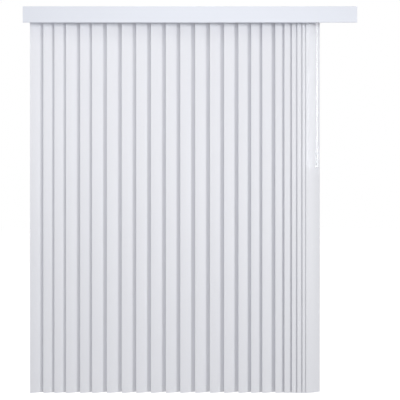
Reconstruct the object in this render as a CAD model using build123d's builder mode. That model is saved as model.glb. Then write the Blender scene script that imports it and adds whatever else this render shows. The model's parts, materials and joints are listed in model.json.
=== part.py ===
from build123d import *
import os
from math import asin, cos, hypot, radians, sin

os.makedirs("parts", exist_ok=True)

# Vertical blind with wand control, in millimetres.
# The wall is the plane Y = 0, the room is towards -Y, and X runs along the headrail.
# The origin is midway between the two screw holes of the middle wall bracket.

# Overall sizes
valance_length = 1828.8
blind_drop = 2133.6

# Room left between pieces
wall_gap = 19.4
wand_gap = 3.0
fit_clearance = 0.1
running_clearance = 0.3
cut_overrun = 1.0

# Vanes, each a strip curved across its width
vane_width = 88.9
vane_rise = 3.8
vane_thickness = 0.8
vane_rest_tilt = 22.0
vane_slot_width = 12.0
vane_slot_height = 4.5
vane_slot_drop = 9.0
first_vane_margin = 21.8
last_vane_margin = 6.0

# Gaps between the vanes as they hang, as shares of an even spread over the whole rail
rest_pitch_shares = [
    0.995, 0.825, 0.865, 1.060, 0.880, 1.110, 1.115, 1.080,
    1.100, 1.115, 1.080, 1.115, 1.110, 1.045, 1.075, 0.950,
    0.830, 0.975, 0.680, 0.560, 0.400, 0.385, 0.265,
]
spacer_reach_share = 1.12

# Headrail, an extruded channel with a slot below and a lip along each top edge
rail_width = 44.0
rail_height = 30.0
rail_wall = 1.2
rail_lip = 2.0
rail_slot = 18.0
track_rib = 2.0

# End caps
cap_flange = 3.0
cap_corner = 2.0
cap_plug = 10.0
cap_wall = 2.0
bearing_sides = 8

# Tilt rod with six splines
rod_diameter = 6.4
rod_spline = 2.0
rod_bar_turns = (0, 60, 120)
rod_offset = 8.5
rod_drop = 14.0

# Carriers
carrier_length = 15.0
carrier_gap = 0.5
carrier_width = 30.0
carrier_headroom = 2.3
carrier_rib_gap = 0.8
wheel_radius = 5.0
wheel_sides = 8
wheel_width = 4.3
neck_radius = 6.0
neck_sides = 6
neck_drop = 9.0
neck_bore_sides = 6
groove_inset = 3.0
groove_depth = 7.0
spacer_thickness = 0.4
spacer_height = 5.0
spacer_nesting_gap = 0.3

# Hook that hangs each vane from its carrier
hook_tang_radius = 3.0
hook_tang_thickness = 1.2
hook_tang_length = 8.5
hook_width = 14.0
hook_head_depth = 6.0
hook_head_height = 3.0
hook_leg_thickness = 1.0
hook_leg_height = 16.0
hook_grip_gap = 0.15
hook_tooth_width = 10.0
hook_tooth_height = 3.0
vane_top_gap = 0.7

# Wand and its turning stem on the lead carrier
wand_side_offset = 12.0
wand_bottom_drop = 877.0
wand_flats = 9.5
wand_sides = 6
wand_socket_radius = 7.2
wand_socket_sides = 12
wand_socket_length = 16.0
wand_socket_depth = 11.0
grip_radius = 8.5
grip_turns = (15, 45)
grip_length = 83.0
grip_wall = 12.0
arm_gap = 1.0
arm_height = 7.0
boss_radius = 7.0
boss_sides = 12
boss_height = 12.0
stem_radius = 3.5
stem_sides = 12
stem_head_radius = 5.5
stem_head_sides = 6
stem_head_height = 2.0
stem_collar = 2.0
eye_drop = 13.0
eye_width = 8.0
eye_thickness = 3.0
eye_sides = 8
pin_radius = 1.5
ear_thickness = 2.0
ear_drop = 6.0

# Valance with a flange above and a lip below
valance_height = 88.9
valance_thickness = 2.0
valance_flange = 14.0
valance_lip = 5.0
valance_round = 3.0
valance_room = 26.0
valance_overhang = 6.0

# Valance clips
clip_shares = (-0.42, -0.14, 0.14, 0.42)
clip_width = 24.0
clip_thickness = 2.5
clip_plate = 2.0
clip_drop = 40.0
clip_seat = 16.0

# Wall brackets, bent from steel strip
bracket_shares = (-0.38, 0.0, 0.38)
bracket_width = 40.0
bracket_thickness = 2.0
bracket_leg = 50.0
bracket_bend = 1.5
bracket_hole_drop = 26.0
bracket_hole_spacing = 25.0
bracket_hole_radius = 2.5
gusset_size = 28.0
gusset_thickness = 3.0
lip_hook_thickness = 1.8
lip_hook_gap = 0.2
lip_hook_tooth = 1.6

# Sizes and places that follow from those above
tilt = radians(vane_rest_tilt)
swing_radius = hypot(vane_width / 2, vane_rise)
rail_y = -(swing_radius + wall_gap)
rail_top = bracket_hole_drop
rail_bottom = rail_top - rail_height
track_top = rail_bottom + rail_wall
rail_length = valance_length - 2 * (valance_overhang + cap_flange)
first_place = -valance_length / 2 + vane_width / 2 + first_vane_margin
last_place = valance_length / 2 - vane_width / 2 - last_vane_margin
vane_count = len(rest_pitch_shares) + 1
even_pitch = (last_place - first_place) / (vane_count - 1)
vane_places = [
    first_place + even_pitch * sum(rest_pitch_shares[:number]) for number in range(vane_count)
]
stack_pitch = carrier_length + carrier_gap

carrier_top = rail_top - rail_wall - carrier_headroom
carrier_bottom = track_top + track_rib + carrier_rib_gap
carrier_height = carrier_top - carrier_bottom
neck_bottom = rail_bottom - neck_drop
rod_tunnel = rod_diameter + 2 * running_clearance

spacer_slant = (spacer_thickness + spacer_nesting_gap) / stack_pitch
spacer_start = -carrier_length / 2 + carrier_gap
spacer_end = spacer_reach_share * even_pitch + carrier_length / 2 + carrier_gap
spacer_near = stack_pitch - carrier_length / 2
spacer_inset = groove_inset + running_clearance + spacer_thickness / 2
groove_width = (spacer_end - spacer_near) * spacer_slant + spacer_thickness + 2 * running_clearance

hook_head_top = neck_bottom - running_clearance
hook_head_bottom = hook_head_top - hook_head_height
vane_top = hook_head_bottom - vane_top_gap
valance_top = rail_top + clip_thickness + valance_thickness
vane_bottom = valance_top - blind_drop
vane_radius = (vane_width**2 / 4 + vane_rise**2) / (2 * vane_rise)
vane_half_angle = asin(vane_width / 2 / vane_radius)
slot_middle = vane_top - vane_slot_drop
tooth_top = slot_middle + vane_slot_height / 2 - fit_clearance
leg_offset = vane_thickness / 2 + hook_grip_gap + hook_leg_thickness / 2

wand_y = rail_y - swing_radius - wand_gap - grip_radius
arm_top = rail_bottom - arm_gap
boss_bottom = arm_top - boss_height
eye_z = boss_bottom - eye_drop
socket_top = eye_z - ear_drop - stem_collar
socket_bottom = socket_top - wand_socket_length
wand_bottom = rail_top - wand_bottom_drop

valance_front = wand_y - valance_room
valance_back = valance_front + valance_thickness
lip_outer = rail_width / 2 + rail_lip


def section_plane(along):
    """Plane across the rail at a place along it, with its origin at the middle of the rail's top."""
    return Plane(origin=(along, rail_y, rail_top), x_dir=(0, 1, 0), z_dir=(1, 0, 0))


def level_plane(along, across, height):
    """Level plane, looking down on the blind."""
    return Plane(origin=(along, across, height))


def vane_plane(along, height):
    """Level plane on a vane's turning axis, with its X along the vane's width at rest."""
    return Plane(origin=(along, rail_y, height), x_dir=(cos(tilt), sin(tilt), 0), z_dir=(0, 0, 1))


def save(piece, name):
    """Labels a finished piece and writes it out under its name."""
    piece.label = name
    export_step(piece, f"parts/{name}.step")


def make_vane(along):
    """A curved vane with its punched slot, and the hook that its slot hangs on."""
    with BuildPart() as vane:
        with BuildSketch(vane_plane(along, vane_bottom)):
            with BuildLine():
                front = vane_radius + vane_thickness / 2
                back = vane_radius - vane_thickness / 2
                edges = [
                    ThreePointArc(
                        (-radius * sin(vane_half_angle), vane_radius - radius * cos(vane_half_angle)),
                        (0, vane_radius - radius),
                        (radius * sin(vane_half_angle), vane_radius - radius * cos(vane_half_angle)),
                    )
                    for radius in (front, back)
                ]
                Line(edges[0] @ 0, edges[1] @ 0)
                Line(edges[0] @ 1, edges[1] @ 1)
            make_face()
        extrude(amount=vane_top - vane_bottom)
        slot_plane = Plane(
            origin=(along, rail_y, slot_middle),
            x_dir=(cos(tilt), sin(tilt), 0),
            z_dir=(sin(tilt), -cos(tilt), 0),
        )
        with BuildSketch(slot_plane):
            Rectangle(vane_slot_width, vane_slot_height)
        extrude(amount=vane_rise, both=True, mode=Mode.SUBTRACT)
        # Hook: a tang with round edges that turns in the carrier, and two legs with a tooth through the slot
        with BuildSketch(vane_plane(along, hook_head_bottom)):
            Rectangle(hook_width, hook_head_depth)
        extrude(amount=hook_head_height)
        with BuildSketch(vane_plane(along, hook_head_top)):
            Rectangle(2 * hook_tang_radius, hook_tang_thickness)
            Circle(hook_tang_radius, mode=Mode.INTERSECT)
        extrude(amount=hook_tang_length)
        with BuildSketch(vane_plane(along, hook_head_bottom)):
            with Locations((0, -leg_offset), (0, leg_offset)):
                Rectangle(hook_width, hook_leg_thickness)
        extrude(amount=-hook_leg_height)
        tooth_depth = leg_offset + vane_thickness / 2
        with BuildSketch(vane_plane(along, tooth_top)):
            with Locations((0, leg_offset - tooth_depth / 2)):
                Rectangle(hook_tooth_width, tooth_depth)
        extrude(amount=-hook_tooth_height)
    return vane.part


def make_carrier(along, is_lead):
    """A carrier that rolls in the rail. The lead one holds the wand, and the others a spacer."""
    with BuildPart() as carrier:
        with BuildSketch(section_plane(along)):
            with Locations((0, carrier_top - rail_top - carrier_height / 2)):
                Rectangle(carrier_width, carrier_height)
            with Locations((rod_offset, -rod_drop)):
                Rectangle(rod_tunnel, rod_tunnel, mode=Mode.SUBTRACT)
            groove_middle = -groove_inset - groove_width / 2
            groove_cut = groove_depth + cut_overrun
            with Locations((groove_middle, carrier_top - rail_top - groove_depth + groove_cut / 2)):
                Rectangle(groove_width, groove_cut, mode=Mode.SUBTRACT)
        extrude(amount=carrier_length / 2, both=True)
        # A wheel on each side, just clear of its track
        for side in (-1, 1):
            wheel_y = rail_y + side * carrier_width / 2
            wheel_z = track_top + running_clearance + wheel_radius
            with BuildSketch(Plane(origin=(along, wheel_y, wheel_z), z_dir=(0, side, 0))):
                RegularPolygon(wheel_radius, wheel_sides)
            extrude(amount=wheel_width)
        # The neck reaches down through the rail's slot and holds the hook's tang
        with BuildSketch(level_plane(along, rail_y, carrier_bottom)):
            RegularPolygon(neck_radius, neck_sides)
        extrude(amount=neck_bottom - carrier_bottom)
        if is_lead:
            with BuildSketch(level_plane(along, rail_y, arm_top)):
                RegularPolygon(neck_radius, neck_sides)
                with Locations((wand_side_offset, wand_y - rail_y)):
                    RegularPolygon(boss_radius, boss_sides)
                make_hull()
            extrude(amount=-arm_height)
            with BuildSketch(level_plane(along + wand_side_offset, wand_y, arm_top)):
                RegularPolygon(boss_radius, boss_sides)
            extrude(amount=-boss_height)
            with BuildSketch(level_plane(along + wand_side_offset, wand_y, arm_top)):
                RegularPolygon(stem_radius + fit_clearance, stem_sides, major_radius=False)
            extrude(amount=-boss_height, mode=Mode.SUBTRACT)
        else:
            # The spacer leans across the groove, so that the spacers of a stack lie side by side
            spacer_foot = -spacer_inset - (spacer_start - spacer_near) * spacer_slant
            spacer_tip = -spacer_inset - (spacer_end - spacer_near) * spacer_slant
            half = spacer_thickness / 2
            with BuildSketch(level_plane(along, rail_y, carrier_top - (groove_depth - spacer_height) / 2)):
                with BuildLine():
                    Polyline(
                        (spacer_start, spacer_foot - half),
                        (spacer_end, spacer_tip - half),
                        (spacer_end, spacer_tip + half),
                        (spacer_start, spacer_foot + half),
                        close=True,
                    )
                make_face()
            extrude(amount=-spacer_height)
        with BuildSketch(level_plane(along, rail_y, neck_bottom)):
            RegularPolygon(hook_tang_radius + fit_clearance, neck_bore_sides, major_radius=False)
        extrude(amount=hook_tang_length, mode=Mode.SUBTRACT)
    return carrier.part


def make_end_cap(side):
    """Cap over one end of the rail, with a hollow plug and the bearing of the tilt rod."""
    plug_top = -rail_wall - fit_clearance
    plug_bottom = track_top + track_rib + fit_clearance - rail_top
    plug_middle = (plug_top + plug_bottom) / 2
    plug_width = rail_width - 2 * (rail_wall + fit_clearance)
    plug_height = plug_top - plug_bottom
    bearing = rod_diameter / 2 + running_clearance
    with BuildPart() as cap:
        with BuildSketch(section_plane(side * rail_length / 2)) as flange:
            with Locations((0, -rail_height / 2)):
                Rectangle(2 * lip_outer, rail_height)
            chamfer(flange.vertices(), cap_corner)
        extrude(amount=side * cap_flange)
        with BuildSketch(section_plane(side * rail_length / 2)):
            with Locations((0, plug_middle)):
                Rectangle(plug_width, plug_height)
                Rectangle(plug_width - 2 * cap_wall, plug_height - 2 * cap_wall, mode=Mode.SUBTRACT)
            with Locations((rod_offset, -rod_drop)):
                RegularPolygon(bearing + cap_wall, bearing_sides)
                RegularPolygon(bearing, bearing_sides, major_radius=False, mode=Mode.SUBTRACT)
            # Web between the bearing and the plug's top wall
            web_height = rod_drop - bearing - rail_wall - fit_clearance
            with Locations((rod_offset, plug_top - web_height / 2)):
                Rectangle(cap_wall, web_height)
        extrude(amount=-side * cap_plug)
    return cap.part


def add_lip_hook(side, strap):
    """Sketch of the hook under one of the rail's top lips, drawn from a strap that lies on the rail."""
    reach = lip_outer + lip_hook_gap
    drop = rail_wall + lip_hook_gap + lip_hook_thickness
    with Locations((side * (reach + lip_hook_thickness / 2), (strap - drop) / 2)):
        Rectangle(lip_hook_thickness, strap + drop)
    with Locations((side * (reach - lip_hook_tooth / 2), lip_hook_thickness / 2 - drop)):
        Rectangle(lip_hook_tooth, lip_hook_thickness)


def add_eye():
    """Sketch of the round end of an eye or ear, with its flats in line with the sides below or above it."""
    RegularPolygon(eye_width / 2, eye_sides, major_radius=False, rotation=180 / eye_sides)


# Headrail
with BuildPart() as headrail:
    with BuildSketch(section_plane(-rail_length / 2)):
        with Locations((0, -rail_height / 2)):
            Rectangle(rail_width, rail_height)
        with Locations((0, -rail_wall / 2)):
            Rectangle(2 * lip_outer, rail_wall)
        with Locations((0, -rail_height / 2)):
            Rectangle(rail_width - 2 * rail_wall, rail_height - 2 * rail_wall, mode=Mode.SUBTRACT)
        with Locations((0, -rail_height)):
            Rectangle(rail_slot, 2 * (rail_wall + cut_overrun), mode=Mode.SUBTRACT)
        rib_middle = (rail_slot + rail_wall) / 2
        rib_height = rail_wall - rail_height + track_rib / 2
        with Locations((-rib_middle, rib_height), (rib_middle, rib_height)):
            Rectangle(rail_wall, track_rib)
    extrude(amount=rail_length)
save(headrail.part, "headrail")

# End caps
save(make_end_cap(-1), "end_cap_left")
save(make_end_cap(1), "end_cap_right")

# Tilt rod
with BuildPart() as tilt_rod:
    rod_length = rail_length - 2 * running_clearance
    with BuildSketch(section_plane(-rod_length / 2)):
        with Locations((rod_offset, -rod_drop)):
            for turn in rod_bar_turns:
                Rectangle(rod_diameter, rod_spline, rotation=turn)
            Circle(rod_diameter / 2, mode=Mode.INTERSECT)
    extrude(amount=rod_length)
save(tilt_rod.part, "tilt_rod")

# Carriers and vanes
for number, place in enumerate(vane_places, start=1):
    save(make_carrier(place, number == vane_count), f"carrier_{number:02d}")
    save(make_vane(place), f"vane_{number:02d}")

wand_x = vane_places[-1] + wand_side_offset

# Wand stem: turns in the lead carrier's boss, with an eye below
with BuildPart() as wand_stem:
    with BuildSketch(level_plane(wand_x, wand_y, arm_top + running_clearance)):
        RegularPolygon(stem_head_radius, stem_head_sides)
    extrude(amount=stem_head_height)
    with BuildSketch(level_plane(wand_x, wand_y, arm_top + running_clearance)):
        Circle(stem_radius)
    extrude(amount=-(boss_height + running_clearance + stem_collar))
    with BuildSketch(Plane(origin=(wand_x, wand_y, eye_z), x_dir=(0, 1, 0), z_dir=(1, 0, 0))):
        add_eye()
        tongue = eye_drop - stem_collar
        with Locations((0, tongue / 2)):
            Rectangle(eye_width, tongue)
        RegularPolygon(pin_radius + fit_clearance, eye_sides, major_radius=False, mode=Mode.SUBTRACT)
    extrude(amount=eye_thickness / 2, both=True)
save(wand_stem.part, "wand_stem")

# Wand hook: a fork and pin in the stem's eye, over a socket for the rod
with BuildPart() as wand_hook:
    ear_inner = eye_thickness / 2 + running_clearance
    with BuildSketch(level_plane(wand_x, wand_y, socket_bottom)):
        RegularPolygon(wand_socket_radius, wand_socket_sides)
    extrude(amount=wand_socket_length)
    with BuildSketch(level_plane(wand_x, wand_y, socket_bottom)):
        RegularPolygon(wand_flats / 2 + fit_clearance, wand_sides, major_radius=False)
    extrude(amount=wand_socket_depth, mode=Mode.SUBTRACT)
    for side in (-1, 1):
        ear_middle = (wand_x + side * ear_inner, wand_y, eye_z)
        with BuildSketch(Plane(origin=ear_middle, x_dir=(0, 1, 0), z_dir=(1, 0, 0))):
            add_eye()
            with Locations((0, (socket_top - eye_z) / 2)):
                Rectangle(eye_width, eye_z - socket_top)
        extrude(amount=side * ear_thickness)
    with BuildSketch(Plane(origin=(wand_x, wand_y, eye_z), x_dir=(0, 1, 0), z_dir=(1, 0, 0))):
        Circle(pin_radius)
    extrude(amount=ear_inner + ear_thickness, both=True)
save(wand_hook.part, "wand_hook")

# Wand rod, a clear six-sided bar
rod_top = socket_bottom + wand_socket_depth - fit_clearance
with BuildPart() as wand_rod:
    with BuildSketch(level_plane(wand_x, wand_y, wand_bottom + grip_wall)):
        RegularPolygon(wand_flats / 2, wand_sides, major_radius=False)
    extrude(amount=rod_top - wand_bottom - grip_wall)
save(wand_rod.part, "wand_rod")

# Wand grip, a sleeve over the rod's lower end with ridges along it
with BuildPart() as wand_grip:
    with BuildSketch(level_plane(wand_x, wand_y, wand_bottom)):
        for turn in grip_turns:
            RegularPolygon(grip_radius, wand_sides, rotation=turn)
    extrude(amount=grip_length)
    with BuildSketch(level_plane(wand_x, wand_y, wand_bottom + grip_wall - fit_clearance)):
        RegularPolygon(wand_flats / 2 + fit_clearance, wand_sides, major_radius=False)
    extrude(amount=grip_length, mode=Mode.SUBTRACT)
save(wand_grip.part, "wand_grip")

# Valance: one extruded profile along the front
with BuildPart() as valance:
    profile_corner = (-valance_length / 2, valance_front, valance_top)
    with BuildSketch(Plane(origin=profile_corner, x_dir=(0, 1, 0), z_dir=(1, 0, 0))) as profile:
        with Locations((valance_thickness / 2, -valance_height / 2)):
            Rectangle(valance_thickness, valance_height)
        with Locations((valance_flange / 2, -valance_thickness / 2)):
            Rectangle(valance_flange, valance_thickness)
        with Locations((valance_lip / 2, valance_thickness / 2 - valance_height)):
            Rectangle(valance_lip, valance_thickness)
        fillet(profile.vertices().group_by(Axis.X)[0], valance_round)
    extrude(amount=valance_length)
save(valance.part, "valance")

# Valance clips: each rests on the rail, hooks its front lip and carries the valance's flange
with BuildPart() as valance_clips:
    for share in clip_shares:
        with BuildSketch(section_plane(share * rail_length)):
            arm_front = valance_back - rail_y
            arm_rear = clip_seat - lip_outer
            with Locations(((arm_front + arm_rear) / 2, clip_thickness / 2)):
                Rectangle(arm_rear - arm_front, clip_thickness)
            with Locations((arm_front + clip_plate / 2, (clip_thickness - clip_drop) / 2)):
                Rectangle(clip_plate, clip_thickness + clip_drop)
            add_lip_hook(-1, clip_thickness)
        extrude(amount=clip_width / 2, both=True)
save(valance_clips.part, "valance_clips")

# Wall brackets: a leg on the wall, an arm over the rail with a hook for each lip, and a gusset
with BuildPart() as mounting_brackets:
    for share in bracket_shares:
        along = share * rail_length
        with BuildSketch(section_plane(along)) as side_view:
            arm_end = lip_outer + lip_hook_gap
            with Locations(((-rail_y - arm_end) / 2, bracket_thickness / 2)):
                Rectangle(-rail_y + arm_end, bracket_thickness)
            with Locations((-rail_y - bracket_thickness / 2, bracket_thickness - bracket_leg / 2)):
                Rectangle(bracket_thickness, bracket_leg)
            fillet(side_view.vertices().group_by(Axis.X)[-1].sort_by(Axis.Y)[-1], bracket_bend)
            add_lip_hook(-1, bracket_thickness)
            add_lip_hook(1, bracket_thickness)
        extrude(amount=bracket_width / 2, both=True)
        with BuildSketch(section_plane(along)):
            with BuildLine():
                corner = -rail_y - bracket_thickness
                Polyline((corner, 0), (corner - gusset_size, 0), (corner, -gusset_size), close=True)
            make_face()
        extrude(amount=gusset_thickness / 2, both=True)
        with BuildSketch(Plane(origin=(along, 0, 0), x_dir=(1, 0, 0), z_dir=(0, -1, 0))):
            with GridLocations(bracket_hole_spacing, 0, 2, 1):
                Circle(bracket_hole_radius)
        extrude(amount=bracket_thickness, mode=Mode.SUBTRACT)
save(mounting_brackets.part, "mounting_brackets")
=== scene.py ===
"""Looks of a vertical blind with curved vanes, a plain valance and a wand, in metres.

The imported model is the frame: the wall is the plane Y = 0, the room is towards -Y, X runs along
the headrail and Z points up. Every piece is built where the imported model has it.
"""

import json
import logging
import math
from contextlib import contextmanager
from dataclasses import dataclass, field, replace
from enum import Enum
from typing import Any, Callable, Iterator, Sequence, Union

import bmesh
import bpy
from mathutils import Matrix, Vector


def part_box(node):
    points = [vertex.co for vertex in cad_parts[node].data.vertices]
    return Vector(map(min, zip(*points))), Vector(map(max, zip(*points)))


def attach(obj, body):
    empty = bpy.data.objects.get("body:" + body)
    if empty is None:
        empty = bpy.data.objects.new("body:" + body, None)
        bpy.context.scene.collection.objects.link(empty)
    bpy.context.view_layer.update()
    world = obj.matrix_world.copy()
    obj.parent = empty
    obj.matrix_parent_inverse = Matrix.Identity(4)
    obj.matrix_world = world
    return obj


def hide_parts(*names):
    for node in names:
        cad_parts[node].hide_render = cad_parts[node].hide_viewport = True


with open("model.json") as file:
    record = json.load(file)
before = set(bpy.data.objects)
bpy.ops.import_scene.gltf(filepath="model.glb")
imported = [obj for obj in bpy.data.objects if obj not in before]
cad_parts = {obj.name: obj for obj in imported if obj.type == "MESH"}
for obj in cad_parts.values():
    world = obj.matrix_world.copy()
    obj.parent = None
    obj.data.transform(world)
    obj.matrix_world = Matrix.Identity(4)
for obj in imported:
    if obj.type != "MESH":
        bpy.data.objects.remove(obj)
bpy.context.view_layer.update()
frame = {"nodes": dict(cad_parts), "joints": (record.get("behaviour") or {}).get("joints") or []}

LOG = logging.getLogger("vertical_blind")

Colour = tuple[float, float, float]
Triple = tuple[float, float, float]
PickTest = Callable[[Vector, Vector], bool]

SQUARE_ON = 0.9
NEAR = 0.00002
CLOSE = 10 * NEAR
BREAK_OVER = math.radians(35.0)
SMOOTH_UNDER = math.radians(38.0)
UNSCALED: Triple = (1.0, 1.0, 1.0)
WHITE: Colour = (1.0, 1.0, 1.0)

# Faces across a rounding, from a broken edge to a wide curve.
BROKEN, EASED, TURNED, BENT, CURVED = 2, 3, 4, 6, 8

CLOUD_DETAIL = 3.0
MARK_DETAIL = 2.0
NOISE_ROUGHNESS = 0.55
MID_NOISE = 0.5
RELIEF_STRENGTH = 0.6


class Way(Enum):
    """Directions along the blind's own axes."""

    ALONG = (1.0, 0.0, 0.0)
    TO_WALL = (0.0, 1.0, 0.0)
    TO_ROOM = (0.0, -1.0, 0.0)
    UP = (0.0, 0.0, 1.0)
    DOWN = (0.0, 0.0, -1.0)

    @property
    def vector(self) -> Vector:
        """The direction as a vector."""
        return Vector(self.value)


def near(first: float, second: float) -> bool:
    """Tells whether two places are the same, within a hair."""
    return abs(first - second) < NEAR


def looks(normal: Vector, way: Way) -> bool:
    """Tells whether a face looks one way."""
    return normal.dot(way.vector) > SQUARE_ON


class Piece:
    """One mesh on the bench, shaped in edit mode and then dressed."""

    def __init__(self, name: str) -> None:
        """Takes over the object that was added last.

        Args:
            name: the piece's name.
        """
        self.shape: bpy.types.Object = bpy.context.object
        self.shape.name = name
        self.shape.data.name = name

    @staticmethod
    def clear_bench() -> None:
        """Leaves edit mode and deselects everything."""
        if bpy.context.mode != "OBJECT":
            bpy.ops.object.mode_set(mode="OBJECT")
        bpy.ops.object.select_all(action="DESELECT")

    @staticmethod
    def settle(size: Sequence[float]) -> None:
        """Gives the new primitive its size and puts its place into its mesh.

        Args:
            size: scale along the primitive's own axes.
        """
        bpy.context.object.scale = size
        bpy.ops.object.transform_apply(location=True, rotation=True, scale=True)

    @classmethod
    def block(cls, name: str, low: Vector, high: Vector) -> "Piece":
        """Starts from a block between two corners.

        Args:
            name: the piece's name.
            low: lowest corner.
            high: highest corner.

        Returns:
            The new piece.
        """
        cls.clear_bench()
        bpy.ops.mesh.primitive_cube_add(size=1.0, location=(low + high) / 2)
        cls.settle(high - low)
        return cls(name)

    @classmethod
    def bar(cls, name: str, sides: int, radius: float, foot: Vector, height: float, turn: float) -> "Piece":
        """Starts from an upright bar with flat sides.

        Args:
            name: the piece's name.
            sides: number of flat sides.
            radius: from the axis to a corner.
            foot: middle of the lower end.
            height: length along Z.
            turn: turn about the axis, in radians.

        Returns:
            The new piece.
        """
        cls.clear_bench()
        middle = foot + Way.UP.vector * (height / 2)
        bpy.ops.mesh.primitive_cylinder_add(
            vertices=sides, radius=radius, depth=height, location=middle, rotation=(0.0, 0.0, turn)
        )
        cls.settle(UNSCALED)
        return cls(name)

    @classmethod
    def section(cls, name: str, middle: Vector, thickness: float, height: float, turn: float) -> "Piece":
        """Starts from an upright flat section, to be spun into a curved strip.

        Args:
            name: the piece's name.
            middle: middle of the section.
            thickness: its width, across Z.
            height: its length along Z.
            turn: turn about Z, in radians.

        Returns:
            The new piece.
        """
        cls.clear_bench()
        bpy.ops.mesh.primitive_plane_add(size=1.0, location=middle, rotation=(0.0, math.pi / 2, turn))
        cls.settle((height, thickness, 1.0))
        return cls(name)

    @contextmanager
    def editing(self) -> Iterator[None]:
        """Opens the piece in edit mode and closes it again."""
        self.clear_bench()
        bpy.context.view_layer.objects.active = self.shape
        self.shape.select_set(True)
        bpy.ops.object.mode_set(mode="EDIT")
        yield
        bpy.ops.object.mode_set(mode="OBJECT")

    def pick_faces(self, test: PickTest) -> None:
        """Selects the faces that a test takes.

        Args:
            test: gets a face's middle and normal.
        """
        bpy.ops.mesh.select_mode(type="FACE")
        bpy.ops.mesh.select_all(action="DESELECT")
        mesh = bmesh.from_edit_mesh(self.shape.data)
        for face in mesh.faces:
            face.select_set(test(face.calc_center_median(), face.normal))
        bmesh.update_edit_mesh(self.shape.data)

    def pick_edges(self, test: PickTest) -> None:
        """Selects the edges that a test takes.

        Args:
            test: gets an edge's middle and its span from end to end.
        """
        bpy.ops.mesh.select_mode(type="EDGE")
        bpy.ops.mesh.select_all(action="DESELECT")
        mesh = bmesh.from_edit_mesh(self.shape.data)
        for edge in mesh.edges:
            first, second = (corner.co for corner in edge.verts)
            edge.select_set(test((first + second) / 2, second - first))
        bmesh.update_edit_mesh(self.shape.data)

    def extrude(self, test: PickTest, shift: Vector) -> None:
        """Pulls faces out of the piece.

        Args:
            test: picks the faces.
            shift: how far they go.
        """
        with self.editing():
            self.pick_faces(test)
            bpy.ops.mesh.extrude_region_move(TRANSFORM_OT_translate={"value": shift})

    def bevel(self, test: PickTest, width: float, segments: int) -> None:
        """Rounds edges.

        Args:
            test: picks the edges.
            width: how far the rounding reaches.
            segments: number of faces across it.
        """
        with self.editing():
            self.pick_edges(test)
            bpy.ops.mesh.bevel(offset=width, offset_type="OFFSET", segments=segments, affect="EDGES")

    def score(self, way: Way, places: Sequence[float]) -> None:
        """Cuts new edges across the piece, square to one of its axes.

        Args:
            way: the axis.
            places: where along it the cuts lie.
        """
        with self.editing():
            for place in places:
                bpy.ops.mesh.select_all(action="SELECT")
                bpy.ops.mesh.bisect(plane_co=way.vector * place, plane_no=way.vector)

    def trim(self, point: Vector, normal: Vector) -> None:
        """Cuts away what lies beyond a plane and closes the cut.

        Args:
            point: a point of the plane.
            normal: which way the part that goes lies.
        """
        with self.editing():
            bpy.ops.mesh.select_all(action="SELECT")
            bpy.ops.mesh.bisect(plane_co=point, plane_no=normal, use_fill=True, clear_outer=True)

    def spin(self, steps: int, angle: float, centre: Vector) -> None:
        """Sweeps the whole piece about an upright axis.

        Args:
            steps: number of steps.
            angle: how far, in radians, from +X towards +Y.
            centre: a point of the axis.
        """
        with self.editing():
            bpy.ops.mesh.select_all(action="SELECT")
            bpy.ops.mesh.spin(steps=steps, angle=-angle, center=centre, axis=Way.UP.value)
            bpy.ops.mesh.select_all(action="SELECT")
            bpy.ops.mesh.remove_doubles(threshold=NEAR)
            bpy.ops.mesh.normals_make_consistent(inside=False)

    def gather(self, test: PickTest, share: float, centre: Vector) -> None:
        """Draws edges in towards an upright axis.

        Args:
            test: picks the edges.
            share: what is left of their distance from the axis.
            centre: a point of the axis.
        """
        with self.editing():
            self.pick_edges(test)
            bpy.ops.transform.resize(value=(share, share, 1.0), center_override=centre)

    def apply(self, kind: str, **settings: Any) -> None:
        """Adds a modifier and applies it.

        Args:
            kind: the modifier's type.
            settings: its settings.
        """
        self.clear_bench()
        bpy.context.view_layer.objects.active = self.shape
        self.shape.select_set(True)
        modifier = self.shape.modifiers.new(kind.lower(), kind)
        for name, value in settings.items():
            setattr(modifier, name, value)
        bpy.ops.object.modifier_apply(modifier=modifier.name)

    def cut(self, tool: "Piece") -> None:
        """Cuts another piece's form out of this one, and removes that piece."""
        self.apply("BOOLEAN", operation="DIFFERENCE", solver="EXACT", object=tool.shape)
        bpy.data.objects.remove(tool.shape)

    def weld(self, part: "Piece") -> None:
        """Joins another piece's form to this one, and removes that piece."""
        self.apply("BOOLEAN", operation="UNION", solver="EXACT", object=part.shape)
        bpy.data.objects.remove(part.shape)

    def soften(self, width: float, segments: int) -> None:
        """Breaks every sharp edge a little.

        Args:
            width: how far the rounding reaches.
            segments: number of faces across it.
        """
        self.apply(
            "BEVEL", width=width, segments=segments, limit_method="ANGLE", angle_limit=BREAK_OVER
        )

    def smooth(self) -> None:
        """Shades the piece smoothly over blunt edges, with its large faces left flat."""
        self.clear_bench()
        bpy.context.view_layer.objects.active = self.shape
        self.shape.select_set(True)
        bpy.ops.object.shade_smooth_by_angle(angle=SMOOTH_UNDER)
        self.apply("WEIGHTED_NORMAL", mode="FACE_AREA", keep_sharp=True)

    def copy(self, name: str, turn: float, shift: Vector) -> "Piece":
        """Sets out a copy with a mesh of its own.

        Args:
            name: the copy's name.
            turn: turn about the bench's upright axis, in radians.
            shift: where the bench's origin goes.

        Returns:
            The copy.
        """
        self.clear_bench()
        made = self.shape.copy()
        made.data = self.shape.data.copy()
        made.data.transform(Matrix.Translation(shift) @ Matrix.Rotation(turn, 4, "Z"))
        bpy.context.scene.collection.objects.link(made)
        bpy.context.view_layer.objects.active = made
        return Piece(name)

    def discard(self) -> None:
        """Takes the piece off the bench for good."""
        bpy.data.objects.remove(self.shape)

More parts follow.
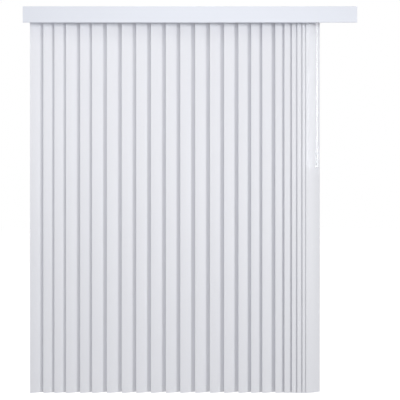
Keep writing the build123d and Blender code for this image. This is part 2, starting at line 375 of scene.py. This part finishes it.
    def dress(self, finish: "Finish", body: str, slot: str, nodes: Sequence[str] = ()) -> None:
        """Gives the finished piece its material and its place in the frame.

        Args:
            finish: what it is made of.
            body: the body that it moves with.
            slot: the record's material slot; not used.
            nodes: the CAD nodes that it stands for.
        """
        self.shape.data.materials.clear()
        self.shape.data.materials.append(finish.material())
        self.shape.visible_shadow = finish.casts_shadow
        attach(self.shape, body)
        if nodes:
            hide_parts(*nodes)
        LOG.info("%s: %d faces on %s", self.shape.name, len(self.shape.data.polygons), body)


class Value:
    """A number that a node puts out, with the arithmetic that adds Math nodes."""

    def __init__(self, tree: "Tree", socket: bpy.types.NodeSocket) -> None:
        """Wraps a socket.

        Args:
            tree: the material's nodes.
            socket: the output that gives the number.
        """
        self.tree = tree
        self.socket = socket

    def maths(self, operation: str, first: "Number", second: "Number") -> "Value":
        """Adds one Math node.

        Args:
            operation: the node's operation.
            first: left value.
            second: right value.

        Returns:
            The node's result.
        """
        node = self.tree.node("ShaderNodeMath", {"operation": operation}, {0: first, 1: second})
        return Value(self.tree, node.outputs[0])

    def __add__(self, other: "Number") -> "Value":
        """Adds."""
        return self.maths("ADD", self, other)

    def __radd__(self, other: "Number") -> "Value":
        """Adds to a plain number."""
        return self.maths("ADD", other, self)

    def __sub__(self, other: "Number") -> "Value":
        """Takes away."""
        return self.maths("SUBTRACT", self, other)

    def __rsub__(self, other: "Number") -> "Value":
        """Takes away from a plain number."""
        return self.maths("SUBTRACT", other, self)

    def __mul__(self, other: "Number") -> "Value":
        """Multiplies."""
        return self.maths("MULTIPLY", self, other)

    def __rmul__(self, other: "Number") -> "Value":
        """Multiplies a plain number."""
        return self.maths("MULTIPLY", other, self)

    def __abs__(self) -> "Value":
        """Drops the sign."""
        return self.maths("ABSOLUTE", self, 0.0)

    def over(self, limit: "Number") -> "Value":
        """One where the value is over the limit, and zero elsewhere."""
        return self.maths("GREATER_THAN", self, limit)


Number = Union[Value, float]


class Tree:
    """The nodes of one material or of the world."""

    def __init__(self, owner: Union[bpy.types.Material, bpy.types.World]) -> None:
        """Empties the owner's nodes.

        Args:
            owner: a material or the world.
        """
        owner.use_nodes = True
        self.nodes = owner.node_tree.nodes
        self.links = owner.node_tree.links
        self.nodes.clear()

    def node(self, kind: str, settings: dict[str, Any], inputs: dict[Any, Any]) -> bpy.types.Node:
        """Adds a node.

        Args:
            kind: the node's type.
            settings: its own settings, set first.
            inputs: a value or a link for each named or numbered socket.

        Returns:
            The node.
        """
        made = self.nodes.new(kind)
        for name, value in settings.items():
            setattr(made, name, value)
        for name, value in inputs.items():
            if isinstance(value, Value):
                value = value.socket
            if isinstance(value, bpy.types.NodeSocket):
                self.links.new(value, made.inputs[name])
            else:
                made.inputs[name].default_value = value
        return made

    def place(self) -> bpy.types.NodeSocket:
        """The point of the piece, in its own metres."""
        return self.node("ShaderNodeTexCoord", {}, {}).outputs["Object"]

    def noise(self, place: bpy.types.NodeSocket, scale: Triple, detail: float) -> Value:
        """Cloudy noise between zero and one.

        Args:
            place: where on the piece.
            scale: cycles per metre along each axis.
            detail: how many finer layers.

        Returns:
            The noise.
        """
        stretched = self.node(
            "ShaderNodeMapping", {"vector_type": "POINT"}, {"Vector": place, "Scale": scale}
        )
        cloud = self.node(
            "ShaderNodeTexNoise",
            {"noise_dimensions": "3D"},
            {"Vector": stretched.outputs[0], "Scale": 1.0, "Detail": detail, "Roughness": NOISE_ROUGHNESS},
        )
        return Value(self, cloud.outputs[0])

    def mix(self, share: Number, first: Any, second: Any) -> bpy.types.NodeSocket:
        """Mixes two colours.

        Args:
            share: how much of the second.
            first: a colour or a link.
            second: a colour or a link.

        Returns:
            The mixed colour.
        """
        made = self.nodes.new("ShaderNodeMix")
        made.data_type = "RGBA"
        sockets = [socket for socket in made.inputs if socket.enabled]
        for socket, value in zip(sockets, (share, first, second)):
            if isinstance(value, Value):
                value = value.socket
            if isinstance(value, bpy.types.NodeSocket):
                self.links.new(value, socket)
            elif isinstance(value, tuple):
                socket.default_value = (*value, 1.0)
            else:
                socket.default_value = value
        return next(socket for socket in made.outputs if socket.enabled)


class Marks(Enum):
    """How a surface was made, as cycles per metre of its fine marks along X, Y and Z."""

    DRAWN_DOWN = (640.0, 640.0, 1.6)
    DRAWN_ALONG = (1.6, 640.0, 640.0)
    MOULDED = (900.0, 900.0, 900.0)
    SPRAYED = (420.0, 420.0, 420.0)


@dataclass(frozen=True)
class Finish:
    """A surface: its colours, its gloss and the marks that its making left."""

    name: str
    colour: Colour
    shade: Colour
    roughness: float
    marks: Marks
    mark_depth: float
    gloss_spread: float = 0.12
    cloud: Triple = (9.0, 9.0, 1.3)
    metallic: float = 0.0
    transmission: float = 0.0
    bend: float = 1.5
    coat: float = 0.0
    casts_shadow: bool = True

    def tint(self, tree: Tree, place: bpy.types.NodeSocket) -> bpy.types.NodeSocket:
        """Colour over the surface.

        Args:
            tree: the material's nodes.
            place: where on the piece.

        Returns:
            The colour.
        """
        return tree.mix(tree.noise(place, self.cloud, CLOUD_DETAIL), self.colour, self.shade)

    def material(self) -> bpy.types.Material:
        """Makes the material, or finds it if it is made already.

        Returns:
            The material.
        """
        ready = bpy.data.materials.get(self.name)
        if ready:
            return ready
        made = bpy.data.materials.new(self.name)
        tree = Tree(made)
        place = tree.place()
        marks = tree.noise(place, self.marks.value, MARK_DETAIL)
        relief = tree.node(
            "ShaderNodeBump",
            {},
            {"Strength": RELIEF_STRENGTH, "Distance": self.mark_depth, "Height": marks},
        )
        surface = tree.node(
            "ShaderNodeBsdfPrincipled",
            {},
            {
                "Base Color": self.tint(tree, place),
                "Roughness": self.roughness + self.gloss_spread * (marks - MID_NOISE),
                "Metallic": self.metallic,
                "IOR": self.bend,
                "Transmission Weight": self.transmission,
                "Coat Weight": self.coat,
                "Normal": relief.outputs[0],
            },
        )
        tree.node("ShaderNodeOutputMaterial", {}, {"Surface": surface.outputs[0]})
        return made


@dataclass(frozen=True)
class WheeledFinish(Finish):
    """The carriers' plastic, with wheels of another colour on both sides."""

    wheel_colour: Colour = (0.30, 0.31, 0.33)
    rail_middle: float = 0.0
    wheel_reach: float = 0.0151

    def tint(self, tree: Tree, place: bpy.types.NodeSocket) -> bpy.types.NodeSocket:
        """Colour over the surface.

        Args:
            tree: the material's nodes.
            place: where on the piece.

        Returns:
            The colour.
        """
        across = Value(tree, tree.node("ShaderNodeSeparateXYZ", {}, {0: place}).outputs["Y"])
        wheels = abs(across - self.rail_middle).over(self.wheel_reach)
        return tree.mix(wheels, super().tint(tree, place), self.wheel_colour)


VANE_PLASTIC = Finish(
    "vane_plastic", (0.840, 0.852, 0.905), (0.822, 0.832, 0.881), 0.46, Marks.DRAWN_DOWN, 0.00004
)
VALANCE_PLASTIC = Finish(
    "valance_plastic", (0.850, 0.884, 0.968), (0.832, 0.862, 0.942), 0.42, Marks.DRAWN_ALONG, 0.00004,
    cloud=(1.3, 9.0, 9.0),
)
RAIL_PAINT = Finish(
    "rail_paint", (0.80, 0.80, 0.80), (0.77, 0.77, 0.765), 0.34, Marks.SPRAYED, 0.00003,
    cloud=(2.0, 14.0, 14.0),
)
CARRIER_PLASTIC = WheeledFinish(
    "carrier_plastic", (0.74, 0.74, 0.72), (0.70, 0.70, 0.68), 0.45, Marks.MOULDED, 0.00003,
    cloud=(30.0, 30.0, 30.0),
)
HOOK_PLASTIC = Finish(
    "hook_plastic", (0.78, 0.78, 0.77), (0.74, 0.74, 0.73), 0.40, Marks.MOULDED, 0.00003,
    cloud=(40.0, 40.0, 40.0),
)
CAP_PLASTIC = Finish(
    "cap_plastic", (0.80, 0.80, 0.80), (0.76, 0.76, 0.76), 0.48, Marks.MOULDED, 0.00005,
    cloud=(30.0, 30.0, 30.0),
)
ROD_ALUMINIUM = Finish(
    "rod_aluminium", (0.80, 0.80, 0.81), (0.70, 0.70, 0.72), 0.30, Marks.DRAWN_ALONG, 0.00004,
    metallic=1.0, cloud=(4.0, 60.0, 60.0),
)
STEM_PLASTIC = Finish(
    "stem_plastic", (0.80, 0.80, 0.80), (0.75, 0.75, 0.75), 0.38, Marks.MOULDED, 0.00003,
    cloud=(60.0, 60.0, 60.0),
)
CLEAR_WAND = Finish(
    "clear_wand", (0.92, 0.93, 0.955), (0.89, 0.905, 0.93), 0.10, Marks.DRAWN_DOWN, 0.00002,
    gloss_spread=0.05, transmission=0.60, bend=1.49, casts_shadow=False,
)
CLEAR_GRIP = Finish(
    "clear_grip", (0.86, 0.87, 0.895), (0.83, 0.845, 0.87), 0.20, Marks.DRAWN_DOWN, 0.00002,
    gloss_spread=0.08, transmission=0.55, bend=1.49, casts_shadow=False,
)
CLEAR_CLIP = Finish(
    "clear_clip", (0.94, 0.95, 0.95), (0.90, 0.91, 0.92), 0.10, Marks.MOULDED, 0.00003,
    gloss_spread=0.08, transmission=0.92, bend=1.49, cloud=(40.0, 40.0, 40.0), casts_shadow=False,
)
BRACKET_PAINT = Finish(
    "bracket_paint", (0.74, 0.75, 0.76), (0.69, 0.70, 0.71), 0.36, Marks.SPRAYED, 0.00005,
    cloud=(20.0, 20.0, 20.0),
)


@dataclass
class Vanes:
    """The curved strips and the hooks that they hang from."""

    width: float = 0.0889
    rise: float = 0.0038
    thickness: float = 0.0008
    rest_tilt: float = math.radians(22.0)
    steps: int = 28
    edge_round: float = 0.00028
    slot_width: float = 0.012
    slot_height: float = 0.0045
    slot_drop: float = 0.009
    slot_round: float = 0.0012
    plain_from: float = 0.018
    hook_width: float = 0.014
    hook_head_depth: float = 0.006
    hook_head_height: float = 0.003
    hook_head_gap: float = 0.0007
    tang_width: float = 0.006
    tang_thickness: float = 0.0012
    tang_length: float = 0.0085
    leg_thickness: float = 0.001
    leg_gap: float = 0.00015
    leg_height: float = 0.016
    tooth_width: float = 0.010
    tooth_height: float = 0.003
    tooth_drop: float = 0.00685
    hook_edge: float = 0.0002

    def make_strip(self, bottom: float, top: float) -> Piece:
        """One strip with its turning axis at the bench's upright axis and its bulge to the room.

        Args:
            bottom: lower end.
            top: upper end.

        Returns:
            The strip.
        """
        radius = (self.width**2 / 4 + self.rise**2) / (2 * self.rise)
        half_angle = math.asin(self.width / 2 / radius)
        edge = Vector(
            (-radius * math.sin(half_angle), radius - radius * math.cos(half_angle), (top + bottom) / 2)
        )
        strip = Piece.section("strip", edge, self.thickness, top - bottom, -half_angle)
        strip.spin(self.steps, 2 * half_angle, Vector((0.0, radius, 0.0)))
        strip.bevel(
            lambda middle, span: abs(span.z) > self.width and abs(middle.x) > abs(edge.x) - self.thickness,
            self.edge_round,
            BROKEN,
        )
        slot = top - self.slot_drop
        strip.score(Way.UP, [top - self.plain_from])
        reach = Vector((self.slot_width / 2, self.rise, self.slot_height / 2))
        middle = Way.UP.vector * slot
        punch = Piece.block("slot_punch", middle - reach, middle + reach)
        punch.bevel(lambda place, span: abs(span.y) > self.rise, self.slot_round, TURNED)
        strip.cut(punch)
        strip.smooth()
        return strip

    def make_hook(self, top: float) -> Piece:
        """One hook on the bench, with two legs around the strip and a tooth through its slot.

        Args:
            top: upper end of the strip.

        Returns:
            The hook.
        """
        head_low = top + self.hook_head_gap
        head_high = head_low + self.hook_head_height
        leg_near = self.thickness / 2 + self.leg_gap
        leg_far = leg_near + self.leg_thickness
        leg_foot = head_low - self.leg_height
        tooth_top = top - self.tooth_drop
        tooth_foot = tooth_top - self.tooth_height
        half = Vector((self.hook_width / 2, self.hook_head_depth / 2, 0.0))
        hook = Piece.block("hook", Way.UP.vector * head_low - half, Way.UP.vector * head_high + half)
        hook.score(Way.TO_WALL, [-leg_far, -leg_near, leg_near, leg_far])
        hook.extrude(
            lambda middle, normal: looks(normal, Way.DOWN) and leg_near < abs(middle.y) < leg_far,
            Way.DOWN.vector * self.leg_height,
        )
        hook.bevel(
            lambda middle, span: near(middle.z, leg_foot)
            and abs(span.x) > leg_far
            and abs(middle.y) > leg_far - NEAR,
            self.leg_thickness / 2,
            EASED,
        )
        tooth = Piece.block(
            "tooth",
            Vector((-self.tooth_width / 2, -self.thickness / 2, tooth_foot)),
            Vector((self.tooth_width / 2, leg_near + self.leg_thickness / 2, tooth_top)),
        )
        tooth.bevel(
            lambda middle, span: near(middle.y, -self.thickness / 2) and abs(span.x) > self.tooth_height,
            self.leg_thickness / 2,
            BROKEN,
        )
        hook.weld(tooth)
        tang = Piece.block(
            "tang",
            Vector((-self.tang_width / 2, -self.tang_thickness / 2, head_high - self.leg_thickness)),
            Vector((self.tang_width / 2, self.tang_thickness / 2, head_high + self.tang_length)),
        )
        tang.bevel(lambda middle, span: abs(span.z) > self.tang_width, self.tang_thickness / 3, EASED)
        hook.weld(tang)
        hook.soften(self.hook_edge, BROKEN)
        hook.smooth()
        return hook

    def build(self) -> None:
        """Sets a strip and a hook at each vane's turning axis."""
        low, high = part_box("vane_01")
        top = high.z - self.tang_length - self.hook_head_height - self.hook_head_gap
        strip = self.make_strip(low.z, top)
        hook = self.make_hook(top)
        for joint in frame["joints"]:
            name = joint["child"]
            if not name.startswith("vane_"):
                continue
            axis = Vector((joint["pos_m"][0], joint["pos_m"][1], 0.0))
            strip.copy(f"{name}_strip", self.rest_tilt, axis).dress(VANE_PLASTIC, name, "vane", [name])
            hook.copy(f"{name}_hook", self.rest_tilt, axis).dress(HOOK_PLASTIC, name, "carrier")
        strip.discard()
        hook.discard()


@dataclass
class Valance:
    """The front and the clips that carry it."""

    thickness: float = 0.002
    flange: float = 0.014
    lip: float = 0.005
    rounding: float = 0.003
    edge: float = 0.0003
    clip_width: float = 0.024
    clip_thickness: float = 0.0025
    clip_plate: float = 0.002
    clip_edge: float = 0.0004
    lip_reach: float = 0.0242
    hook_thickness: float = 0.0018
    hook_drop: float = 0.0032
    hook_tooth: float = 0.0016
    clip_shares: Sequence[float] = (-0.42, -0.14, 0.14, 0.42)

    def build_front(self) -> None:
        """The front: a flat board with a flange above and a lip below."""
        low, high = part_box("valance")
        flange_foot = high.z - self.thickness
        lip_top = low.z + self.thickness
        front = Piece.block("valance_front", low, Vector((high.x, low.y + self.thickness, high.z)))
        front.score(Way.UP, [lip_top, flange_foot])
        front.extrude(
            lambda middle, normal: looks(normal, Way.TO_WALL) and middle.z > flange_foot,
            Way.TO_WALL.vector * (self.flange - self.thickness),
        )
        front.extrude(
            lambda middle, normal: looks(normal, Way.TO_WALL) and middle.z < lip_top,
            Way.TO_WALL.vector * (self.lip - self.thickness),
        )
        front.bevel(
            lambda middle, span: abs(span.x) > self.flange
            and near(middle.y, low.y)
            and (near(middle.z, low.z) or near(middle.z, high.z)),
            self.rounding,
            CURVED,
        )
        front.soften(self.edge, BROKEN)
        front.smooth()
        front.dress(VALANCE_PLASTIC, "rail", "valance", ["valance"])

    def make_clip(self, rail_middle: float) -> Piece:
        """One clip at X = 0: an arm with a plate in front and a hook under the rail's lip.

        Args:
            rail_middle: Y of the rail's middle.

        Returns:
            The clip.
        """
        low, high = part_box("valance_clips")
        arm_low = high.z - self.clip_thickness
        plate_back = low.y + self.clip_plate
        hook_in = rail_middle - self.lip_reach
        hook_out = hook_in - self.hook_thickness
        tooth_top = arm_low - self.hook_drop + self.hook_thickness
        half = self.clip_width / 2
        clip = Piece.block("clip", Vector((-half, low.y, arm_low)), Vector((half, high.y, high.z)))
        clip.score(Way.TO_WALL, [plate_back, hook_out, hook_in])
        clip.extrude(
            lambda middle, normal: looks(normal, Way.DOWN) and middle.y < plate_back,
            Way.DOWN.vector * (arm_low - low.z),
        )
        clip.extrude(
            lambda middle, normal: looks(normal, Way.DOWN) and hook_out < middle.y < hook_in,
            Way.UP.vector * (tooth_top - arm_low),
        )
        clip.extrude(
            lambda middle, normal: looks(normal, Way.DOWN) and hook_out < middle.y < hook_in,
            Way.DOWN.vector * self.hook_thickness,
        )
        clip.extrude(
            lambda middle, normal: looks(normal, Way.TO_WALL)
            and near(middle.y, hook_in)
            and middle.z < tooth_top,
            Way.TO_WALL.vector * self.hook_tooth,
        )
        clip.soften(self.clip_edge, EASED)
        clip.smooth()
        return clip

    def build_clips(self) -> None:
        """A clip at each place along the rail."""
        low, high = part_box("headrail")
        clip = self.make_clip((low.y + high.y) / 2)
        for number, share in enumerate(self.clip_shares, start=1):
            place = Way.ALONG.vector * (share * (high.x - low.x))
            nodes = ["valance_clips"] if number == 1 else []
            clip.copy(f"valance_clip_{number}", 0.0, place).dress(CLEAR_CLIP, "rail", "clip", nodes)
        clip.discard()

    def build(self) -> None:
        """Builds the whole valance."""
        self.build_front()
        self.build_clips()


@dataclass
class WallBrackets:
    """Brackets bent from steel strip, with a gusset and two screw holes each."""

    width: float = 0.040
    thickness: float = 0.002
    bend: float = 0.0019
    hole_radius: float = 0.0025
    hole_spacing: float = 0.025
    hole_sides: int = 40
    drill_reach: float = 3.0
    gusset: float = 0.028
    gusset_thickness: float = 0.003
    bite: float = 0.0006
    lip_reach: float = 0.0242
    hook_thickness: float = 0.0018
    hook_drop: float = 0.0032
    hook_tooth: float = 0.0016
    edge: float = 0.0003
    shares: Sequence[float] = (-0.38, 0.0, 0.38)
    names: Sequence[str] = ("left", "middle", "right")

    def make_bracket(self, rail_middle: float) -> Piece:
        """One bracket at X = 0.

        Args:
            rail_middle: Y of the rail's middle.

        Returns:
            The bracket.
        """
        low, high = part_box("mounting_brackets")
        arm_low = high.z - self.thickness
        leg_face = high.y - self.thickness
        tooth_top = arm_low - self.hook_drop + self.hook_thickness
        half = self.width / 2
        bracket = Piece.block("bracket", Vector((-half, low.y, arm_low)), Vector((half, high.y, high.z)))
        hooks = [(side, rail_middle + side * self.lip_reach) for side in (-1, 1)]
        bracket.score(Way.TO_WALL, [leg_face] + [inner for _, inner in hooks])
        bracket.score(Way.TO_WALL, [inner + side * self.hook_thickness for side, inner in hooks])
        bracket.extrude(
            lambda middle, normal: looks(normal, Way.DOWN) and middle.y > leg_face,
            Way.UP.vector * (low.z - arm_low),
        )
        for side, inner in hooks:
            def on_hook(middle: Vector, normal: Vector) -> bool:
                """Picks the hook's lower face."""
                off = middle.y - inner - side * self.hook_thickness / 2
                return looks(normal, Way.DOWN) and abs(off) < CLOSE

            def on_tooth(middle: Vector, normal: Vector) -> bool:
                """Picks the face that the hook's tooth grows from."""
                return normal.y * side < -SQUARE_ON and near(middle.y, inner) and middle.z < tooth_top

            bracket.extrude(on_hook, Way.UP.vector * (tooth_top - arm_low))
            bracket.extrude(on_hook, Way.DOWN.vector * self.hook_thickness)
            bracket.extrude(on_tooth, Way.TO_ROOM.vector * (side * self.hook_tooth))
        bracket.bevel(
            lambda middle, span: abs(span.x) > half and near(middle.y, high.y) and near(middle.z, high.z),
            self.bend,
            BENT,
        )
        self.add_gusset(bracket, leg_face, arm_low)
        for side in (-1, 1):
            bracket.cut(self.make_drill(side * self.hole_spacing / 2, leg_face, high.y))
        bracket.soften(self.edge, BROKEN)
        bracket.smooth()
        return bracket

    def add_gusset(self, bracket: Piece, leg_face: float, arm_low: float) -> None:
        """Welds a rib into the corner between the leg and the arm.

        Args:
            bracket: the bent strip.
            leg_face: Y of the leg's face.
            arm_low: Z of the arm's lower face.
        """
        half = self.gusset_thickness / 2
        rib = Piece.block(
            "gusset",
            Vector((-half, leg_face - self.gusset, arm_low - self.gusset)),
            Vector((half, leg_face + self.bite, arm_low + self.bite)),
        )
        rib.trim(Vector((0.0, leg_face, arm_low - self.gusset)), Vector((0.0, -1.0, -1.0)))
        bracket.weld(rib)

    def make_drill(self, place: float, front: float, back: float) -> Piece:
        """A drill through the leg.

        Args:
            place: X of the hole.
            front: Y of the leg's face.
            back: Y of the leg's back.

        Returns:
            The drill.
        """
        Piece.clear_bench()
        bpy.ops.mesh.primitive_cylinder_add(
            vertices=self.hole_sides,
            radius=self.hole_radius,
            depth=(back - front) * self.drill_reach,
            location=(place, (front + back) / 2, 0.0),
            rotation=(math.pi / 2, 0.0, 0.0),
        )
        Piece.settle(UNSCALED)
        return Piece("drill")

    def build(self) -> None:
        """Sets a bracket at each place along the rail."""
        low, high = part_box("headrail")
        bracket = self.make_bracket((low.y + high.y) / 2)
        for name, share in zip(self.names, self.shares):
            place = Way.ALONG.vector * (share * (high.x - low.x))
            nodes = ["mounting_brackets"] if share == self.shares[0] else []
            bracket.copy(f"wall_bracket_{name}", 0.0, place).dress(BRACKET_PAINT, "rail", "bracket", nodes)
        bracket.discard()


@dataclass
class Wand:
    """The clear wand: a six-sided rod in a ridged grip."""

    flats: float = 0.0095
    sides: int = 6
    corner_round: float = 0.0006
    end_round: float = 0.0005
    ridges: int = 12
    ridge_round: float = 0.00045
    valley_share: float = 0.8966
    fit: float = 0.0001

    def make_six_sided(self, name: str, foot: Vector, height: float, spare: float) -> Piece:
        """An upright six-sided bar with a flat to the room.

        Args:
            name: the piece's name.
            foot: middle of the lower end.
            height: length along Z.
            spare: what is added to the distance from the axis to a flat.

        Returns:
            The bar.
        """
        corner = (self.flats / 2 + spare) / math.cos(math.pi / self.sides)
        return Piece.bar(name, self.sides, corner, foot, height, math.pi / self.sides)

    def build_rod(self) -> None:
        """The rod, with its long corners rounded as it was drawn."""
        low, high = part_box("wand_rod")
        foot = Vector(((low.x + high.x) / 2, (low.y + high.y) / 2, low.z))
        rod = self.make_six_sided("wand_rod_bar", foot, high.z - low.z, 0.0)
        rod.bevel(lambda middle, span: abs(span.z) > self.flats, self.corner_round, EASED)
        rod.soften(self.end_round, BROKEN)
        rod.smooth()
        rod.dress(CLEAR_WAND, "wand", "wand", ["wand_rod"])

    def build_grip(self) -> None:
        """The grip, a sleeve with ridges along it over the rod's lower end."""
        low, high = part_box("wand_grip")
        rod_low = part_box("wand_rod")[0].z
        foot = Vector(((low.x + high.x) / 2, (low.y + high.y) / 2, low.z))
        radius = (high.x - low.x) / 2 / math.cos(math.pi / (2 * self.ridges))
        step = math.pi / self.ridges
        grip = Piece.bar("wand_grip_sleeve", 2 * self.ridges, radius, foot, high.z - low.z, 0.0)

        def in_valley(middle: Vector, span: Vector) -> bool:
            """Picks every second long edge, starting at the one to the room."""
            turns = math.atan2(middle.y - foot.y, middle.x - foot.x) / step
            return abs(span.z) > radius and round(turns) % 2 == 0

        grip.gather(in_valley, self.valley_share, foot)
        grip.bevel(lambda middle, span: abs(span.z) > radius, self.ridge_round, BROKEN)
        space_foot = Vector((foot.x, foot.y, rod_low - self.fit))
        grip.cut(self.make_six_sided("rod_space", space_foot, high.z - low.z, self.fit))
        grip.soften(self.end_round, BROKEN)
        grip.smooth()
        grip.dress(CLEAR_GRIP, "wand", "wand", ["wand_grip"])

    def build(self) -> None:
        """Builds the wand."""
        self.build_rod()
        self.build_grip()


@dataclass
class RailParts:
    """What is dressed as it stands: headrail, end caps, tilt rod, carriers and the wand's joint."""

    finishes: dict[str, Finish] = field(
        default_factory=lambda: {
            "headrail": RAIL_PAINT,
            "end_cap": CAP_PLASTIC,
            "tilt_rod": ROD_ALUMINIUM,
            "wand_stem": STEM_PLASTIC,
            "wand_hook": STEM_PLASTIC,
        }
    )

    def dress(self) -> None:
        """Gives each node its finish."""
        low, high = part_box("headrail")
        carriers = replace(CARRIER_PLASTIC, rail_middle=(low.y + high.y) / 2)
        finishes = {**self.finishes, "carrier_": carriers}
        for name, node in frame["nodes"].items():
            for start, finish in finishes.items():
                if name.startswith(start):
                    for place in node.material_slots:
                        place.material = finish.material()
                    LOG.info("%s: dressed in %s", name, finish.name)


@dataclass
class Lamp:
    """A soft lamp with a square face."""

    name: str
    place: Triple
    aim: Triple
    size: float
    power: float
    colour: Colour = WHITE

    def build(self) -> None:
        """Hangs the lamp and points it."""
        light = bpy.data.lights.new(self.name, "AREA")
        light.shape = "SQUARE"
        light.size = self.size
        light.energy = self.power
        light.color = self.colour
        lamp = bpy.data.objects.new(self.name, light)
        lamp.location = self.place
        lamp.rotation_euler = (Vector(self.aim) - Vector(self.place)).to_track_quat("-Z", "Y").to_euler()
        lamp.visible_camera = False
        bpy.context.scene.collection.objects.link(lamp)


@dataclass
class Studio:
    """The floor, the soft light around and the camera."""

    floor_height: float = -2.42
    floor_size: float = 60.0
    floor_colour: Colour = (0.70, 0.70, 0.70)
    floor_shade: Colour = (0.67, 0.67, 0.67)
    floor_cloud: Triple = (0.8, 0.8, 0.8)
    floor_glow: float = 0.83
    ambient: float = 0.262
    ambient_colour: Colour = (1.0, 0.975, 0.965)
    camera_place: Triple = (0.0547, -4.070, -1.0288)
    focal_pixels: float = 718.0
    picture_pixels: float = 400.0
    sensor: float = 36.0
    sight: float = 200.0
    lamps: Sequence[Lamp] = (
        Lamp("key", (10.2, -9.6, -0.9), (0.0, -0.06, -1.0), 2.0, 520.0, (0.99, 1.0, 0.99)),
        Lamp("left_fill", (-0.9, -3.3, -0.15), (-0.7, -0.06, -0.4), 1.2, 19.2),
        Lamp("right_fill", (0.75, -3.3, -0.15), (0.6, -0.06, -0.4), 1.2, 19.0),
        Lamp("crown", (0.1, -2.3, 1.7), (0.1, -0.06, -0.2), 1.6, 12.5),
        Lamp("top", (0.0, 0.5, 2.8), (0.0, -0.06, 0.0), 1.6, 44.0),
        Lamp("back", (-9.0, 5.0, -0.6), (0.0, -0.06, -1.0), 2.0, 380.0),
    )

    @staticmethod
    def seen_directly(tree: Tree) -> Value:
        """One for what the camera sees, straight or in a clear or shiny surface, and zero for light.

        Args:
            tree: the nodes of the floor or the world.

        Returns:
            The mask.
        """
        path = tree.node("ShaderNodeLightPath", {}, {})
        camera, glossy, clear = (
            Value(tree, path.outputs[name])
            for name in ("Is Camera Ray", "Is Glossy Ray", "Is Transmission Ray")
        )
        return camera.maths("MAXIMUM", camera, glossy.maths("MAXIMUM", glossy, clear))

    def build_floor(self) -> None:
        """A wide pale floor that keeps the blind's shadow."""
        Piece.clear_bench()
        bpy.ops.mesh.primitive_plane_add(size=self.floor_size, location=(0.0, 0.0, self.floor_height))
        Piece.settle(UNSCALED)
        floor = Piece("studio_floor")
        made = bpy.data.materials.new("studio_floor")
        tree = Tree(made)
        cloud = tree.noise(tree.place(), self.floor_cloud, MARK_DETAIL)
        tint = tree.mix(cloud, self.floor_colour, self.floor_shade)
        matt = tree.node("ShaderNodeBsdfDiffuse", {}, {0: tint})
        glow = tree.node("ShaderNodeEmission", {}, {"Strength": self.floor_glow * self.seen_directly(tree)})
        both = tree.node("ShaderNodeAddShader", {}, {0: matt.outputs[0], 1: glow.outputs[0]})
        tree.node("ShaderNodeOutputMaterial", {}, {"Surface": both.outputs[0]})
        floor.shape.data.materials.append(made)

    def build_world(self) -> None:
        """Even light from all around, white where the camera sees it."""
        world = bpy.data.worlds.new("studio")
        bpy.context.scene.world = world
        tree = Tree(world)
        seen = self.seen_directly(tree)
        strength = self.ambient + (1.0 - self.ambient) * seen
        tint = tree.mix(seen, self.ambient_colour, WHITE)
        sky = tree.node("ShaderNodeBackground", {}, {"Color": tint, "Strength": strength})
        tree.node("ShaderNodeOutputWorld", {}, {"Surface": sky.outputs[0]})

    def build_camera(self) -> None:
        """A camera square to the blind, at the photograph's distance."""
        lens = bpy.data.cameras.new("camera")
        lens.sensor_width = self.sensor
        lens.lens = self.focal_pixels * self.sensor / self.picture_pixels
        lens.clip_end = self.sight
        camera = bpy.data.objects.new("camera", lens)
        camera.location = self.camera_place
        camera.rotation_euler = (math.pi / 2, 0.0, 0.0)
        bpy.context.scene.collection.objects.link(camera)
        bpy.context.scene.camera = camera

    def build(self) -> None:
        """Sets up the studio."""
        bpy.context.scene.view_settings.view_transform = "Standard"
        self.build_floor()
        self.build_world()
        for lamp in self.lamps:
            lamp.build()
        self.build_camera()


def main() -> None:
    """Builds the blind and the studio around it."""
    logging.basicConfig(level=logging.INFO, format="%(name)s: %(message)s")
    Vanes().build()
    Valance().build()
    WallBrackets().build()
    Wand().build()
    RailParts().dress()
    Studio().build()


if __name__ == "__main__":
    main()
